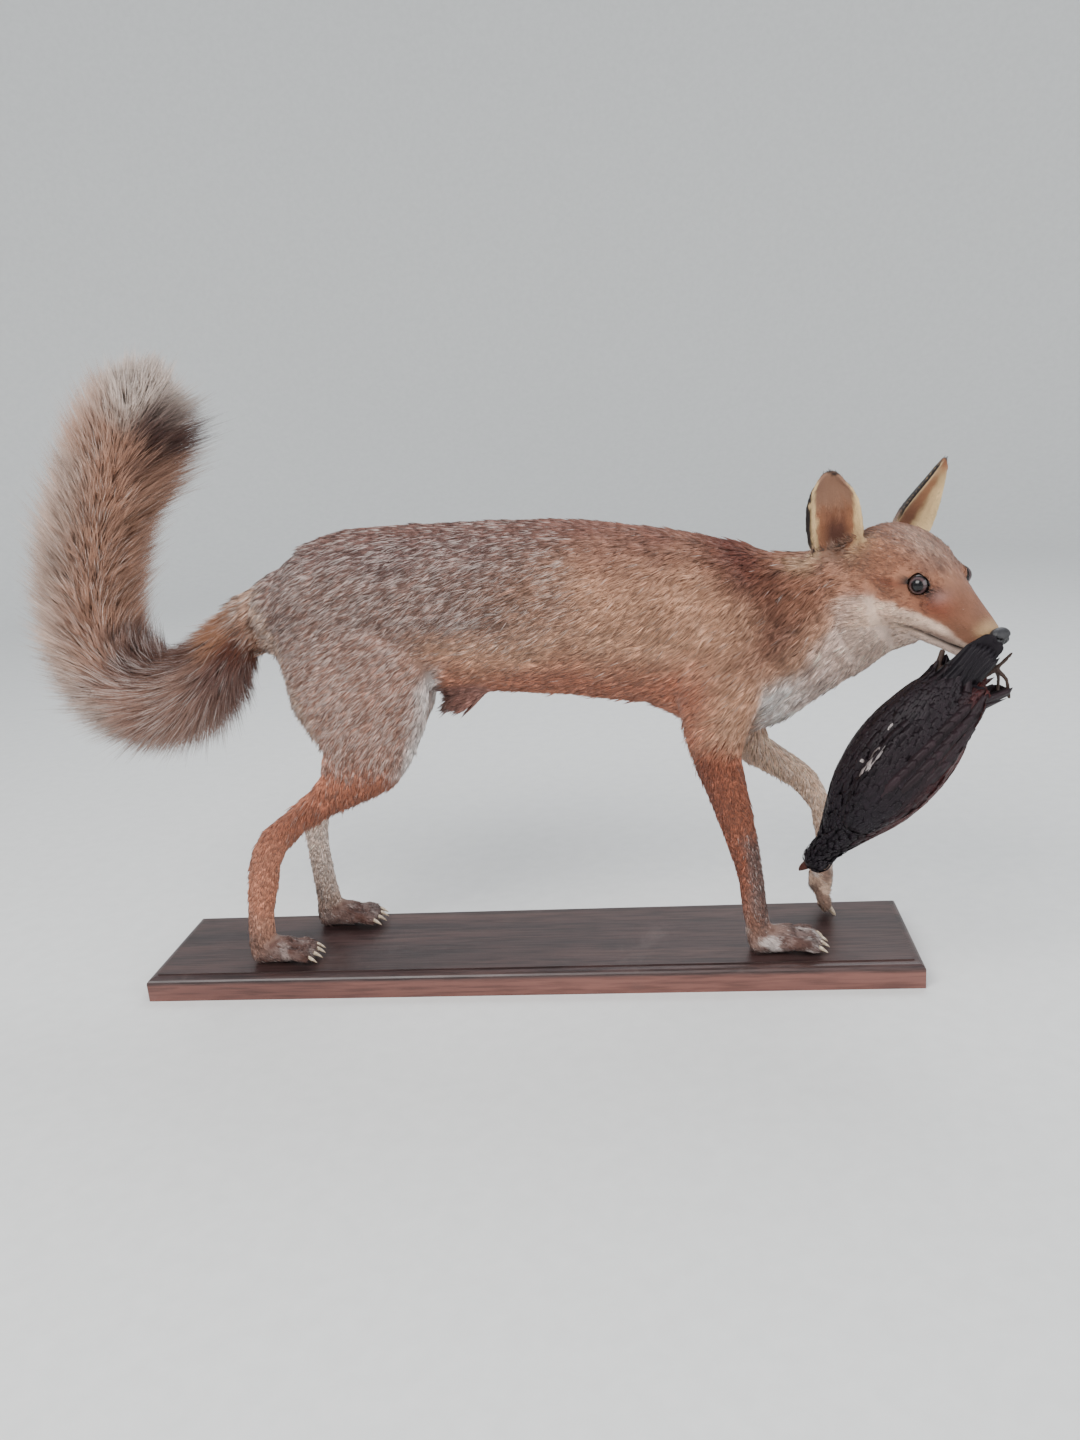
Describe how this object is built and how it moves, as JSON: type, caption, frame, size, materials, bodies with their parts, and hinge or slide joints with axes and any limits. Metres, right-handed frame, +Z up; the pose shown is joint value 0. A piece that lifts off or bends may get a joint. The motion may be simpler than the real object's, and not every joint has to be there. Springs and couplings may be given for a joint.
{
  "type": "mounted red fox",
  "caption": "Taxidermy red fox walking on a narrow moulded board, brush raised, head turned aside, with a dark water bird hanging from its jaws.",
  "frame": {"origin": "middle of the board's underside, where it rests", "axes": "+X the way the fox walks, along the board; +Y the fox's left; +Z up"},
  "size_m": [0.8054, 0.1881, 0.5553],
  "materials": {
    "coat_red": "dense red-brown fur grizzled with grey, black and white hairs",
    "coat_pale": "short cream, grey and tan fur of the paws and lower jaw",
    "board_wood": "dark brown varnished wood, half gloss, worn at the edges",
    "eye_glass": "solid brown glass eye with a dark pupil",
    "nose_leather": "black grained nose pad, slightly glossy",
    "bird_feathers": "slate-black and brown-black feathers with white flecks on the flank"
  },
  "bodies": {
    "root": {"base_board": "board_wood", "head": "coat_red", "left_ear": "coat_red", "left_eye": "eye_glass", "left_fore_paw": "coat_pale", "left_forearm": "coat_red", "left_hind_paw": "coat_pale", "left_hind_shank": "coat_red", "left_thigh": "coat_red", "lower_jaw": "coat_pale", "moorhen": "bird_feathers", "neck": "coat_red", "nose_pad": "nose_leather", "right_ear": "coat_red", "right_eye": "eye_glass", "right_fore_paw": "coat_pale", "right_forearm": "coat_red", "right_hind_paw": "coat_pale", "right_hind_shank": "coat_red", "right_thigh": "coat_red", "tail_bend": "coat_red", "tail_middle": "coat_red", "tail_root": "coat_red", "tail_tip": "coat_red", "trunk_chest": "coat_red", "trunk_loin": "coat_red", "trunk_rump": "coat_red"}
  },
  "joints": []
}
